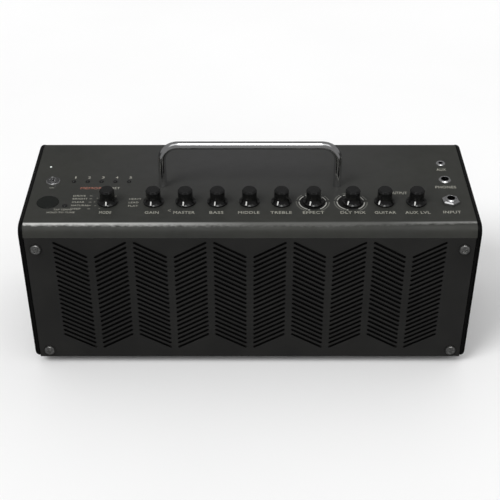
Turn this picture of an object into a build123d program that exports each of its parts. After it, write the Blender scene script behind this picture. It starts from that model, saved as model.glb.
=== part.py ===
from build123d import *
import math
import os

# Desktop guitar amplifier in amp-head form, in millimetres.
# The origin is the centre of the footprint on the floor, the front faces -Y and +Z is up.

# ---------------------------------------------------------------- driving dimensions
WIDTH = 362.0
DEPTH = 130.0
BODY_HEIGHT = 134.0
FOOT_LIFT = 7.0
TOP_RADIUS = 10.2
REAR_TOP_RADIUS = 8.6
BOTTOM_RADIUS = 5.0
CHEEK = 4.0
INSET = 0.2
SHEET = 1.5
GRILLE_SHEET = 1.2
REAR_SHEET = 3.0
GAP = 0.2

# ---------------------------------------------------------------- places worked out from them
FRONT = -DEPTH / 2 + INSET
REAR = DEPTH / 2 - INSET
UNDERSIDE = FOOT_LIFT + INSET
PANEL = FOOT_LIFT + BODY_HEIGHT - INSET
BODY_CENTRE_Z = FOOT_LIFT + BODY_HEIGHT / 2
INNER_X = WIDTH / 2 - CHEEK
PANEL_UNDER = PANEL - SHEET
COVER_LIP = PANEL - TOP_RADIUS + INSET
PAN_TOP = UNDERSIDE + SHEET
GRILLE_BACK = FRONT + GRILLE_SHEET
REAR_INNER = REAR - REAR_SHEET

# ---------------------------------------------------------------- fasteners
SCREW_R = 1.5
SCREW_LENGTH = 7.0
SCREW_HEAD_R = 2.75
SCREW_HEAD = 2.0
TAPPED_R = SCREW_R + 0.05
CLEAR_R = SCREW_R + 0.2
FRONT_SCREW_X = 168.2
FRONT_SCREW_LOW_Z = 15.1
FRONT_SCREW_HIGH_Z = 120.0
FRONT_SCREW_HEAD_R = 4.4
FRONT_SCREW_HEAD = 2.0
FRONT_SCREW_LENGTH = 12.0

# ---------------------------------------------------------------- end cheeks
CHEEK_EDGE = 3.4
BOSS_REACH = 12.8
BOSS_HALF = 5.0
BOSS_DEPTH = 16.0
LEDGE_Y = 22.0
LEDGE_HALF = 8.0
TOP_LEDGE_Y = 51.0
TOP_LEDGE_HALF = 7.0
TOP_LEDGE = 4.0
COVER_BOSS_R = 3.5
COVER_BOSS = 3.0
EDGE_SCREW_X = 169.0
LUG_Z = (41.5, 96.5)
LUG = 4.0

# ---------------------------------------------------------------- grille slots
COLUMNS = 10
COLUMN_PITCH = 31.4
ROWS = 21
ROW_PITCH = 4.685
TOP_ROW_Z = 119.2
SLOT_WIDTH = 2.1
SLOT_ANGLE = 30.0
SLOT_SPAN = 26.2

# ---------------------------------------------------------------- control panel layout
KNOB_Y = -29.7
KNOB_PITCH = 25.5
TONE_KNOBS_X = -13.2
END_KNOBS_X = 107.2
KNOB_X = {
    "mode": -113.6,
    "gain": TONE_KNOBS_X - 2.5 * KNOB_PITCH,
    "master": TONE_KNOBS_X - 1.5 * KNOB_PITCH,
    "bass": TONE_KNOBS_X - 0.5 * KNOB_PITCH,
    "middle": TONE_KNOBS_X + 0.5 * KNOB_PITCH,
    "treble": TONE_KNOBS_X + 1.5 * KNOB_PITCH,
    "effect": TONE_KNOBS_X + 2.5 * KNOB_PITCH,
    "delay": END_KNOBS_X - KNOB_PITCH,
    "guitar": END_KNOBS_X,
    "aux": END_KNOBS_X + KNOB_PITCH,
}
# Degrees each pointer stands clockwise of straight to the front, seen from above.
POINTER_TURN = {
    "mode": 3.0,
    "gain": 12.0,
    "master": 10.5,
    "bass": 14.5,
    "middle": 19.5,
    "treble": 24.0,
    "effect": 22.0,
    "delay": 32.0,
    "guitar": 38.5,
    "aux": 16.5,
}
BUTTON_Y = 0.6
BUTTON_PITCH = 11.35
BUTTON_MIDDLE_X = -121.8
TAP_X = -147.2
TAP_Y = -34.6
LEFT_COLUMN_X = -161.4
SWITCH_Y = 0.6
LAMP_X = -166.4
LAMP_Y = 22.8
RIGHT_COLUMN_X = 160.2
PHONES_Y = 3.5
AUX_Y = 28.8
HANDLE_X = 70.9
HANDLE_Y = -5.0

# ---------------------------------------------------------------- knobs, shafts and pots
SKIRT_R = 8.2
SKIRT_RIM = 0.8
KNOB_LIFT = 0.5
KNOB_TOP_R = 4.9
KNOB_R = 5.9
FLARE_TOP = 5.4
KNOB_SHOULDER = 11.1
KNOB_HEIGHT = 12.5
RIB_HALF = 0.7
KNOB_HOLLOW_R = 4.4
KNOB_HOLLOW = 3.2
SHAFT_R = 2.95
SHAFT_CLEARANCE = 0.05
SHAFT_RISE = 9.0
SHAFT_FLAT = 1.6
BUSHING_R = 3.5
BUSHING_RISE = 1.8
POT = (11.0, 12.0)
POT_FLOOR = 1.0

# ---------------------------------------------------------------- boards
BOARD = 1.6
SPACER = 7.2
SPACER_FLATS = 5.0
CONTROL_TOP = PANEL_UNDER - SPACER
CONTROL_UNDER = CONTROL_TOP - BOARD
MAIN_UNDER = PAN_TOP + SPACER
MAIN_TOP = MAIN_UNDER + BOARD
CONTROL_SPACERS = [(-90.0, -42.0), (-12.8, -18.0), (66.5, -18.0), (145.0, -42.0)]
MAIN_SPACERS = [(-54.0, -29.0), (-54.0, 38.0), (152.0, -29.0), (104.0, 54.0)]

# ---------------------------------------------------------------- buttons, switch, lens, lamp
BUTTON_R = 1.7
TAP_R = 2.0
BUTTON_RISE = 0.9
BUTTON_DOME = 0.7
BUTTON_TRAVEL = 0.5
BUTTON_CLEARANCE = 0.1
BUTTON_COLLAR = 1.0
TACT_HEIGHT = 3.4
SWITCH_BODY = 8.0
SWITCH_RING_R = 5.7
SWITCH_RING = 1.2
SWITCH_TUBE_R = 3.2
SWITCH_RISE = 2.4
LEVER_TILT = 12.0
LEVER_R = 1.1
LEVER_TIP_R = 1.5
LEVER_LENGTH = 6.2
LENS_R = 8.9
LENS_RISE = 0.3
LENS_DEPTH = 2.1
LAMP_R = 0.85
LAMP_RISE = 0.6

# ---------------------------------------------------------------- sockets
JACK_BORE_R = 3.25
JACK_THREAD_R = 4.6
JACK_BODY = 15.0
JACK_DEPTH = 26.0
INPUT_RISE = 4.3
INPUT_BEVEL = 0.8
NUT_FLATS = 12.6
NUT_TURN = 37.5
NUT_HEIGHT = 2.6
NUT_BEVEL = 1.0
WASHER_R = 6.3
WASHER = 0.7
PHONES_RING_R = 5.1
PHONES_RISE = 1.0
PHONES_BEVEL = 0.9
AUX_RISE = 0.6
AUX_BEVEL = 0.5
AUX_BORE_R = 1.8
AUX_RING_R = 3.9
AUX_BODY = 10.0
AUX_DEPTH = 14.0
DC_X = 120.0
DC_BORE_R = 2.75
DC_NOSE_R = 3.9
DC_BODY = (9.0, 14.0, 11.0)
USB_X = 143.0
USB_BODY = (12.0, 17.0, 11.0)

# ---------------------------------------------------------------- handle
HANDLE_R = 3.3
HANDLE_THREAD_R = 2.5
HANDLE_BEND = 13.5
HANDLE_AXIS_Z = 178.55
HANDLE_TAIL = 9.0
HANDLE_NUT_FLATS = 8.0
HANDLE_NUT = 4.0

# ---------------------------------------------------------------- feet
FOOT_X = 150.0
FOOT_Y = 46.0
FOOT_R = 8.0
FOOT_TIP_R = 7.0
FOOT_POCKET_R = 3.2
FOOT_POCKET = 2.5

# ---------------------------------------------------------------- speakers
DRIVER_X = 95.0
DRIVER_Z = 69.0
CLOTH = 0.6
BAFFLE_FRONT = GRILLE_BACK + CLOTH + 2 * GAP
BAFFLE = 6.0
BAFFLE_BACK = BAFFLE_FRONT + BAFFLE
BAFFLE_OPENING_R = 37.5
FLANGE_R = 45.0
FLANGE = 2.0
DRIVER_SCREW_R = 42.0
CONE_R = 31.8
MAGNET_R = 25.0

# ---------------------------------------------------------------- rear panel and battery bay
BAY_HALF = 54.5
BAY_LOW = 27.5
BAY_HIGH = 87.5
BAY_FLOOR_Y = 45.0
BAY_WALL = 2.0
HINGE_R = 0.8
HINGE_CLEARANCE = 0.05
HINGE_LENGTH = 3.0
HINGE_Y = REAR - REAR_SHEET / 2
HINGE_Z = BAY_LOW + 0.3 + REAR_SHEET / 2
CELL_PITCH = 14.8
VENT_COLUMNS = 12
VENT_PITCH = 8.0
VENT = (3.0, 20.0)
VENT_Z = 107.5


# ---------------------------------------------------------------- helpers
def block(x0, x1, y0, y1, z0, z1):
    """A box between two corners."""
    middle = Pos((x0 + x1) / 2, (y0 + y1) / 2, (z0 + z1) / 2)
    return middle * Box(abs(x1 - x0), abs(y1 - y0), abs(z1 - z0))


def post(x, y, z0, z1, radius):
    """An upright cylinder from z0 to z1."""
    return Pos(x, y, (z0 + z1) / 2) * Cylinder(radius, abs(z1 - z0))


def rod_y(x, z, y0, y1, radius):
    """A cylinder that lies front to back from y0 to y1."""
    return Pos(x, (y0 + y1) / 2, z) * Rot(90, 0, 0) * Cylinder(radius, abs(y1 - y0))


def hexagon(x, y, z0, z1, flats):
    """An upright hexagonal prism, sized across its flats."""
    face = RegularPolygon(flats / 2, 6, major_radius=False)
    return Pos(x, y, z0) * extrude(face, z1 - z0)


def lathe(points):
    """A solid turned about Z from (radius, height) points."""
    face = make_face(Plane.XZ * Polyline(*points, close=True))
    return revolve(face, Axis.Z)


def lathe_y(points, x, z):
    """A solid turned about a front-to-back axis, from (radius, y) points."""
    return Pos(x, 0, z) * Rot(-90, 0, 0) * lathe(points)


def side_profile(inset):
    """The end-on outline of the body, drawn in by inset all round."""
    outline = Rectangle(DEPTH - 2 * inset, BODY_HEIGHT - 2 * inset)
    front = outline.vertices().group_by(Axis.Y)[-1].sort_by(Axis.X)[0]
    outline = fillet(front, TOP_RADIUS - inset)
    rear = outline.vertices().group_by(Axis.Y)[-1].sort_by(Axis.X)[-1]
    outline = fillet(rear, REAR_TOP_RADIUS - inset)
    lower = outline.vertices().group_by(Axis.Y)[0]
    outline = fillet(lower, BOTTOM_RADIUS - inset)
    return Plane.YZ * Pos(0, BODY_CENTRE_Z) * outline


def cross_recess(head_radius, depth):
    """Two crossed slots, cut down from z = 0 into a screw head."""
    length, width = 0.55 * head_radius, 0.14 * head_radius
    blade = block(-length, length, -width, width, -depth, 1)
    return blade + Rot(0, 0, 90) * blade


def screw(head_radius, head, shank_radius, length):
    """A pan-head screw pointing down, with the underside of its head at z = 0."""
    body = Cylinder(head_radius, head, align=(Align.CENTER, Align.CENTER, Align.MIN))
    rim = body.edges().sort_by(Axis.Z)[-1]
    body = fillet(rim, 0.6 * head)
    body -= Pos(0, 0, head) * cross_recess(head_radius, 0.55 * head)
    shank = Cylinder(shank_radius, length, align=(Align.CENTER, Align.CENTER, Align.MAX))
    return body + shank


def mirrored_pair(solid):
    """A right-hand solid and its left-hand twin."""
    return [solid, mirror(solid, Plane.YZ)]


def four_corners(x, y):
    """The four places (+-x, +-y)."""
    return [(sx * x, sy * y) for sx in (-1, 1) for sy in (-1, 1)]


# ---------------------------------------------------------------- case
def cover_boss():
    """One screw boss under the control panel, with its pilot hole."""
    boss = post(0, 0, PANEL_UNDER - COVER_BOSS, PANEL_UNDER + 0.5, COVER_BOSS_R)
    return boss - post(0, 0, PANEL_UNDER - COVER_BOSS - 1, PANEL_UNDER, TAPPED_R)


def panel_hole(x, y, radius):
    """A round cutter through the control panel."""
    return post(x, y, PANEL_UNDER - 5, PANEL + 5, radius)


def panel_cutters():
    """Every hole in the control panel."""
    cutters = [panel_hole(x, KNOB_Y, BUSHING_R + 0.1) for x in KNOB_X.values()]
    cutters += [panel_hole(x, BUTTON_Y, BUTTON_R + BUTTON_CLEARANCE) for x in button_places()]
    cutters.append(panel_hole(TAP_X, TAP_Y, TAP_R + BUTTON_CLEARANCE))
    cutters.append(panel_hole(LEFT_COLUMN_X, SWITCH_Y, SWITCH_TUBE_R + 0.1))
    cutters.append(panel_hole(LAMP_X, LAMP_Y, LAMP_R + 0.05))
    cutters.append(panel_hole(RIGHT_COLUMN_X, KNOB_Y, JACK_THREAD_R + 0.15))
    cutters.append(panel_hole(RIGHT_COLUMN_X, PHONES_Y, JACK_THREAD_R + 0.15))
    cutters.append(panel_hole(RIGHT_COLUMN_X, AUX_Y, AUX_RING_R - 0.9))
    cutters += [panel_hole(x, HANDLE_Y, HANDLE_THREAD_R + 0.1) for x in (-HANDLE_X, HANDLE_X)]
    cutters.append(panel_hole(LEFT_COLUMN_X, KNOB_Y, LENS_R + 0.1))
    return cutters


def top_cover():
    """Bent steel: flat on top, turned down over the front and rear edges."""
    half = INNER_X - 0.1
    shell = extrude(side_profile(INSET), half, both=True)
    shell -= extrude(side_profile(INSET + SHEET), half, both=True)
    shell -= block(-WIDTH, WIDTH, -DEPTH, DEPTH, -1, COVER_LIP)
    for x, y in four_corners(EDGE_SCREW_X, TOP_LEDGE_Y):
        shell += Pos(x, y, 0) * cover_boss()
    return shell - panel_cutters()


def right_cheek():
    """End cap with its corner bosses, ledges and baffle lugs moulded inside."""
    plate = Pos(INNER_X, 0, 0) * extrude(side_profile(0), CHEEK)
    outer = plate.faces().sort_by(Axis.X)[-1]
    plate = fillet(outer.edges(), CHEEK_EDGE)
    reach = INNER_X - BOSS_REACH
    solid = plate
    holes = []
    for z in (FRONT_SCREW_LOW_Z, FRONT_SCREW_HIGH_Z):
        low, high = z - BOSS_HALF, z + BOSS_HALF
        front = GRILLE_BACK + GAP
        rear = REAR_INNER - 0.1
        solid += block(reach, INNER_X, front, front + BOSS_DEPTH, low, high)
        solid += block(reach, INNER_X, rear - BOSS_DEPTH, rear, low, high)
        holes.append(rod_y(FRONT_SCREW_X, z, front - 1, front + BOSS_DEPTH - 2, TAPPED_R))
        holes.append(rod_y(FRONT_SCREW_X, z, rear - BOSS_DEPTH + 2, rear + 1, TAPPED_R))
    for side in (-1, 1):
        y = side * LEDGE_Y
        solid += block(reach, INNER_X, y - LEDGE_HALF, y + LEDGE_HALF, PAN_TOP + 0.1, PAN_TOP + 9)
        holes.append(post(EDGE_SCREW_X, y, PAN_TOP, PAN_TOP + 7, TAPPED_R))
        y = side * TOP_LEDGE_Y
        top = PANEL_UNDER - COVER_BOSS - 0.1
        solid += block(reach, INNER_X, y - TOP_LEDGE_HALF, y + TOP_LEDGE_HALF, top - TOP_LEDGE, top)
        holes.append(post(EDGE_SCREW_X, y, top - TOP_LEDGE - 1, top + 1, CLEAR_R))
    for z in LUG_Z:
        solid += block(reach + 2, INNER_X, BAFFLE_BACK + 0.1, BAFFLE_BACK + 0.1 + LUG, z - 5, z + 5)
        holes.append(rod_y(EDGE_SCREW_X, z, BAFFLE_BACK - 1, BAFFLE_BACK + LUG + 1, CLEAR_R))
    return solid - holes


def base_pan():
    """Folded steel bottom with front and rear stiffening lips."""
    half = INNER_X - 0.3
    front, rear = GRILLE_BACK + GAP, REAR_INNER - GAP
    lip_half = 155.0
    lip_top = UNDERSIDE + 10
    pan = block(-half, half, front, rear, UNDERSIDE, PAN_TOP)
    pan += block(-lip_half, lip_half, front, front + 0.5, UNDERSIDE, lip_top)
    pan += block(-lip_half, lip_half, rear - SHEET, rear, UNDERSIDE, lip_top)
    holes = [post(x, y, 0, PAN_TOP + 1, CLEAR_R) for x, y in four_corners(EDGE_SCREW_X, LEDGE_Y)]
    holes += [post(x, y, 0, PAN_TOP + 1, TAPPED_R) for x, y in four_corners(FOOT_X, FOOT_Y)]
    return pan - holes


# ---------------------------------------------------------------- front
def slot_face(column, row):
    """One slanted slot; neighbouring columns slant opposite ways, which makes the chevrons."""
    x = (column - (COLUMNS - 1) / 2) * COLUMN_PITCH
    z = TOP_ROW_Z - row * ROW_PITCH
    slant = -SLOT_ANGLE if column % 2 == 0 else SLOT_ANGLE
    length = (SLOT_SPAN - SLOT_WIDTH) / math.cos(math.radians(SLOT_ANGLE))
    slot = SlotCenterToCenter(length, SLOT_WIDTH, rotation=slant)
    return Pos(x, z) * slot


def front_grille():
    """Flat plate with ten columns of slanted slots."""
    half = INNER_X - 0.3
    low, high = UNDERSIDE + 0.2, COVER_LIP - GAP
    plate = Pos(0, (low + high) / 2) * Rectangle(2 * half, high - low)
    inner = [slot_face(column, row).wire() for column in range(COLUMNS) for row in range(ROWS)]
    plate = Face(plate.wire(), inner)
    solid = extrude(Plane.XZ.offset(-GRILLE_BACK) * plate, GRILLE_SHEET)
    rim = solid.faces().sort_by(Axis.Y)[0].outer_wire().edges()
    solid = chamfer(rim, 0.5)
    holes = [
        rod_y(x, z, FRONT - 1, GRILLE_BACK + 1, CLEAR_R)
        for x in (-FRONT_SCREW_X, FRONT_SCREW_X)
        for z in (FRONT_SCREW_LOW_Z, FRONT_SCREW_HIGH_Z)
    ]
    return solid - holes


def grille_cloth():
    """Acoustic cloth stretched between the plate and the baffle."""
    front = GRILLE_BACK + GAP
    return block(-158, 158, front, front + CLOTH, UNDERSIDE + 11, COVER_LIP - 3)


def grille_screws():
    """The four large front screws."""
    one = screw(FRONT_SCREW_HEAD_R, FRONT_SCREW_HEAD, SCREW_R, FRONT_SCREW_LENGTH)
    turns = (20, 65, 40, 10)
    heights = (FRONT_SCREW_LOW_Z, FRONT_SCREW_HIGH_Z)
    places = [(x, z) for x in (-FRONT_SCREW_X, FRONT_SCREW_X) for z in heights]
    return [
        Pos(x, FRONT, z) * Rot(90, 0, 0) * Rot(0, 0, turn) * one
        for (x, z), turn in zip(places, turns)
    ]


# ---------------------------------------------------------------- speakers
def driver_screw_places():
    """Screw centres (x, z) of both drivers."""
    spread = DRIVER_SCREW_R * math.sqrt(0.5)
    return [
        (side * DRIVER_X + sx * spread, DRIVER_Z + sz * spread)
        for side in (-1, 1)
        for sx in (-1, 1)
        for sz in (-1, 1)
    ]


def speaker_baffle():
    """Board that carries both drivers, with side wings for the cheek lugs."""
    board = block(-161, 161, BAFFLE_FRONT, BAFFLE_BACK, PAN_TOP + 1, 128)
    board += block(-INNER_X + 0.5, INNER_X - 0.5, BAFFLE_FRONT, BAFFLE_BACK, 25, 110)
    holes = [rod_y(side * DRIVER_X, DRIVER_Z, -DEPTH, 0, BAFFLE_OPENING_R) for side in (-1, 1)]
    holes += [rod_y(x, z, BAFFLE_BACK - 5.3, BAFFLE_BACK + 1, TAPPED_R) for x, z in driver_screw_places()]
    for side in (-1, 1):
        holes += [rod_y(side * EDGE_SCREW_X, z, BAFFLE_BACK - 3.2, BAFFLE_BACK + 1, TAPPED_R) for z in LUG_Z]
    return board - holes


def speaker_basket(side):
    """Pressed frame of one driver, with four windows."""
    y = BAFFLE_BACK
    outer = [(37.0, y), (FLANGE_R, y), (FLANGE_R, y + FLANGE), (38.5, y + FLANGE), (21.2, y + 28.6)]
    inner = [(11.0, y + 28.6), (11.0, y + 27.4), (20.0, y + 27.4), (37.0, y + FLANGE)]
    basket = lathe_y(outer + inner, side * DRIVER_X, DRIVER_Z)
    cutters = []
    for quarter in range(4):
        window = block(22, 40, y + 6, y + 23, -9, 9)
        cutters.append(Pos(side * DRIVER_X, 0, DRIVER_Z) * Rot(0, 45 + 90 * quarter, 0) * window)
    for sx, sz in four_corners(1, 1):
        spread = DRIVER_SCREW_R * math.sqrt(0.5)
        centre = (side * DRIVER_X + sx * spread, DRIVER_Z + sz * spread)
        cutters.append(rod_y(*centre, y - 1, y + FLANGE + 1, CLEAR_R))
    return basket - cutters


def speaker_magnet(side):
    """Ring magnet, pole piece and back plate of one driver, glued up as one."""
    y = BAFFLE_BACK + 28.6
    outline = [(0, y - 0.5), (8.8, y - 0.5), (8.8, y + 12), (11, y + 12), (11, y), (MAGNET_R, y)]
    outline += [(MAGNET_R, y + 14), (MAGNET_R - 2, y + 16), (0, y + 16)]
    return lathe_y(outline, side * DRIVER_X, DRIVER_Z)


def speaker_surround(side):
    """Half-roll rubber edge, glued into the mouth of the basket."""
    y = BAFFLE_BACK
    centre, roll, skin = 34.6, 1.9, 0.6
    steps = [math.pi * step / 8 for step in range(9)]
    upper = [(centre + roll * math.cos(a), y + 0.9 - roll * math.sin(a)) for a in steps]
    under = [
        (centre + (roll - skin) * math.cos(a), y + 0.9 - (roll - skin) * math.sin(a))
        for a in reversed(steps)
    ]
    lip_out = [(centre + roll - skin, y + 1.5), (36.95, y + 1.5), (36.95, y + 0.9)]
    lip_in = [(CONE_R + 0.3, y + 0.9), (CONE_R + 0.3, y + 1.5), (centre - roll + skin, y + 1.5)]
    outline = upper + lip_in + under + lip_out
    return lathe_y(outline, side * DRIVER_X, DRIVER_Z)


def cone(side):
    """Paper cone, dust cap and voice-coil former, moving as one."""
    y = BAFFLE_BACK
    front = [(0, y + 12.5), (4, y + 12.9), (8, y + 14.2), (10.4, y + 16), (CONE_R, y + 0.6)]
    back = [(CONE_R, y + 1.4), (10.4, y + 17.2), (10.4, y + 36), (9.6, y + 36), (9.6, y + 17)]
    back += [(8, y + 15.2), (4, y + 13.9), (0, y + 13.5)]
    return lathe_y(front + back, side * DRIVER_X, DRIVER_Z)


# ---------------------------------------------------------------- knobs and pots
def pointer_rib():
    """Low rib up the flare of a knob, along +X, that shows where the knob points."""
    inside = KNOB_R - 1
    outline = [(inside, KNOB_LIFT + 0.1), (SKIRT_R, KNOB_LIFT + 0.1), (SKIRT_R, KNOB_LIFT + 1.5)]
    outline += [(KNOB_R + 0.35, FLARE_TOP + 1), (inside, FLARE_TOP + 1)]
    return extrude(make_face(Plane.XZ * Polyline(*outline, close=True)), RIB_HALF, both=True)


def knob(name):
    """Flared knob with a pointer rib, hollow underneath and bored for its shaft."""
    rim = Line((SKIRT_R, KNOB_LIFT), (SKIRT_R, KNOB_LIFT + SKIRT_RIM))
    flare_start = (SKIRT_R, KNOB_LIFT + SKIRT_RIM)
    flare_middle = (KNOB_R + 0.55, KNOB_LIFT + 2.9)
    flare = ThreePointArc(flare_start, flare_middle, (KNOB_R, FLARE_TOP))
    upper = Polyline(
        (KNOB_R, FLARE_TOP),
        (KNOB_R, KNOB_SHOULDER),
        (KNOB_TOP_R, KNOB_HEIGHT),
        (0, KNOB_HEIGHT),
        (0, KNOB_LIFT),
        (SKIRT_R, KNOB_LIFT),
    )
    solid = revolve(make_face(Plane.XZ * (rim + flare + upper)), Axis.Z)
    solid += pointer_rib()
    solid -= post(0, 0, 0, KNOB_HOLLOW, KNOB_HOLLOW_R)
    bore = post(0, 0, 0, SHAFT_RISE + 0.3, SHAFT_R + 0.03)
    bore -= block(SHAFT_FLAT + 0.03, 9, -9, 9, KNOB_HOLLOW, KNOB_HEIGHT)
    solid -= bore
    turn = -90 - POINTER_TURN[name]
    return Pos(KNOB_X[name], KNOB_Y, PANEL) * Rot(0, 0, turn) * solid


def shaft(name):
    """Flatted control shaft, from the pot's bearing up into the knob."""
    bottom = CONTROL_TOP + POT_FLOOR + 0.2
    rod = post(0, 0, bottom, PANEL + SHAFT_RISE, SHAFT_R)
    rod -= block(SHAFT_FLAT, 9, -9, 9, PANEL + KNOB_HOLLOW, PANEL + SHAFT_RISE + 1)
    turn = -90 - POINTER_TURN[name]
    return Pos(KNOB_X[name], KNOB_Y, 0) * Rot(0, 0, turn) * rod


def potentiometer(x):
    """Pot body and bushing; the body stands on the control board."""
    wide, deep = POT[0] / 2, POT[1] / 2
    body = block(x - wide, x + wide, KNOB_Y - deep, KNOB_Y + deep, CONTROL_TOP, PANEL_UNDER - 0.1)
    body += post(x, KNOB_Y, CONTROL_TOP, PANEL + BUSHING_RISE, BUSHING_R)
    return body - post(x, KNOB_Y, CONTROL_TOP + POT_FLOOR, PANEL + 5, SHAFT_R + SHAFT_CLEARANCE)


# ---------------------------------------------------------------- buttons, switch, lens, lamp
def button_places():
    """Centres in x of the five memory buttons."""
    return [BUTTON_MIDDLE_X + (i - 2) * BUTTON_PITCH for i in range(5)]


def button(x, y, radius):
    """Domed push-button cap with its retaining collar and stem."""
    top = PANEL + BUTTON_RISE
    cap = post(x, y, PANEL_UNDER - 1, top, radius)
    cap = fillet(cap.edges().sort_by(Axis.Z)[-1], BUTTON_DOME)
    cap += post(x, y, PANEL_UNDER - 0.1 - BUTTON_COLLAR, PANEL_UNDER - 0.1, radius + 0.8)
    stem_bottom = CONTROL_TOP + TACT_HEIGHT + BUTTON_TRAVEL + 0.1
    return cap + post(x, y, stem_bottom, PANEL_UNDER - 1, 1.0)


def power_switch_body():
    """Toggle switch: box on the board, threaded tube and hexagonal ring nut on the panel."""
    x, y = LEFT_COLUMN_X, SWITCH_Y
    half = SWITCH_BODY / 2
    body = block(x - half, x + half, y - half, y + half, CONTROL_TOP, PANEL_UNDER - 0.1)
    body += post(x, y, PANEL_UNDER - 1, PANEL + SWITCH_RISE, SWITCH_TUBE_R)
    ring = post(x, y, PANEL + 0.02, PANEL + SWITCH_RING, SWITCH_RING_R)
    body += fillet(ring.edges().sort_by(Axis.Z)[-1], 0.5)
    top = SWITCH_RISE + 0.1
    mouth = [(0, -6.2), (1.9, -6.2), (1.9, -1.0), (2.7, top), (0, top)]
    return body - Pos(x, y, PANEL) * lathe(mouth)


def power_switch_lever():
    """Bat lever, tilted to the front at rest, that pivots inside the tube."""
    outline = [(0, 0), (LEVER_R, 0), (LEVER_R, LEVER_LENGTH / 2), (LEVER_TIP_R, LEVER_LENGTH - 1)]
    outline += [(LEVER_TIP_R * 0.7, LEVER_LENGTH), (0, LEVER_LENGTH)]
    bat = lathe(outline)
    bat += Sphere(1.6)
    return Pos(LEFT_COLUMN_X, SWITCH_Y, PANEL - 1) * Rot(LEVER_TILT, 0, 0) * bat


def display_lens():
    """Smoked round window over the tuner display."""
    lens = post(LEFT_COLUMN_X, KNOB_Y, PANEL - LENS_DEPTH, PANEL + LENS_RISE, LENS_R)
    return fillet(lens.edges().sort_by(Axis.Z)[-1], 0.25)


def status_lamp():
    """Light pipe with a domed end."""
    lamp = post(LAMP_X, LAMP_Y, CONTROL_TOP + 2.2, PANEL + LAMP_RISE, LAMP_R)
    return fillet(lamp.edges().sort_by(Axis.Z)[-1], 0.5)


# ---------------------------------------------------------------- boards
def control_board():
    """Board behind the panel, with tact switches, display module and lamp soldered on."""
    board = block(-170, 150, -46, -14, CONTROL_UNDER, CONTROL_TOP)
    board += block(-170, -88, -14.5, 30, CONTROL_UNDER, CONTROL_TOP)
    places = [(x, BUTTON_Y) for x in button_places()] + [(TAP_X, TAP_Y)]
    for x, y in places:
        board += block(x - 3, x + 3, y - 3, y + 3, CONTROL_TOP - 0.5, CONTROL_TOP + TACT_HEIGHT)
    solder = CONTROL_TOP - 0.5
    board += block(LEFT_COLUMN_X - 6, LEFT_COLUMN_X + 6, KNOB_Y - 5, KNOB_Y + 5, solder, CONTROL_TOP + 6)
    board += block(LAMP_X - 1.5, LAMP_X + 1.5, LAMP_Y - 1.5, LAMP_Y + 1.5, solder, CONTROL_TOP + 2)
    board += block(-60, -30, -38, -20, CONTROL_UNDER - 3, CONTROL_UNDER + 0.5)
    return board - [post(x, y, CONTROL_UNDER - 1, CONTROL_TOP + 1, CLEAR_R) for x, y in CONTROL_SPACERS]


def main_board():
    """Amplifier and supply board, with its heat sink and reservoir capacitors soldered on."""
    board = block(-60, 158, -35, 59, MAIN_UNDER, MAIN_TOP)
    board += block(10, 60, -30, -27, MAIN_TOP - 0.5, MAIN_TOP + 20)
    for fin in range(9):
        x = 11 + 6 * fin
        board += block(x - 0.8, x + 0.8, -27.5, -14, MAIN_TOP - 0.5, MAIN_TOP + 20)
    for x, y in ((-40, -18), (-25, -18), (-10, -18), (80, 20)):
        board += post(x, y, MAIN_TOP - 0.5, MAIN_TOP + 14, 5)
    board += block(-40, -15, 5, 30, MAIN_TOP - 0.5, MAIN_TOP + 1.6)
    return board - [post(x, y, MAIN_UNDER - 1, MAIN_TOP + 1, CLEAR_R) for x, y in MAIN_SPACERS]


def board_spacers():
    """Threaded hexagonal spacers for both boards."""
    spacers = []
    for x, y in CONTROL_SPACERS:
        spacer = hexagon(x, y, CONTROL_TOP, PANEL_UNDER, SPACER_FLATS)
        spacers.append(spacer - post(x, y, CONTROL_TOP - 1, PANEL_UNDER - 1, TAPPED_R))
    for x, y in MAIN_SPACERS:
        spacer = hexagon(x, y, PAN_TOP, MAIN_UNDER, SPACER_FLATS)
        spacers.append(spacer - post(x, y, PAN_TOP + 1, MAIN_UNDER + 1, TAPPED_R))
    return spacers


# ---------------------------------------------------------------- sockets
def input_jack():
    """Quarter-inch jack with a raised threaded bushing."""
    x, y = RIGHT_COLUMN_X, KNOB_Y
    half = JACK_BODY / 2
    body = block(x - half, x + half, y - half, y + half, PANEL_UNDER - JACK_DEPTH, PANEL_UNDER - 0.1)
    tube = post(x, y, PANEL_UNDER - 1, PANEL + INPUT_RISE, JACK_THREAD_R)
    tube = chamfer(tube.edges().sort_by(Axis.Z)[-1], INPUT_BEVEL)
    return body + tube - post(x, y, PANEL_UNDER - JACK_DEPTH + 2, PANEL + 9, JACK_BORE_R)


def input_jack_nut():
    """Hexagon nut with its fixed washer, tightened on the input bushing."""
    x, y = RIGHT_COLUMN_X, KNOB_Y
    nut = post(x, y, PANEL + 0.02, PANEL + WASHER, WASHER_R)
    top = PANEL + WASHER + NUT_HEIGHT
    flats = hexagon(0, 0, PANEL + WASHER - 0.2, top, NUT_FLATS)
    flats = chamfer(flats.edges().group_by(Axis.Z)[-1], NUT_BEVEL)
    nut += Pos(x, y, 0) * Rot(0, 0, NUT_TURN) * flats
    return nut - post(x, y, PANEL - 1, PANEL + 9, JACK_THREAD_R + 0.05)


def phones_jack():
    """Quarter-inch jack with a low ring on the panel."""
    x, y = RIGHT_COLUMN_X, PHONES_Y
    half = JACK_BODY / 2
    body = block(x - half, x + half, y - half, y + half, PANEL_UNDER - JACK_DEPTH, PANEL_UNDER - 0.1)
    body += post(x, y, PANEL_UNDER - 1, PANEL + 0.5, JACK_THREAD_R)
    ring = post(x, y, PANEL + 0.02, PANEL + PHONES_RISE, PHONES_RING_R)
    body += chamfer(ring.edges().sort_by(Axis.Z)[-1], PHONES_BEVEL)
    return body - post(x, y, PANEL_UNDER - JACK_DEPTH + 2, PANEL + 9, JACK_BORE_R)


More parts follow.
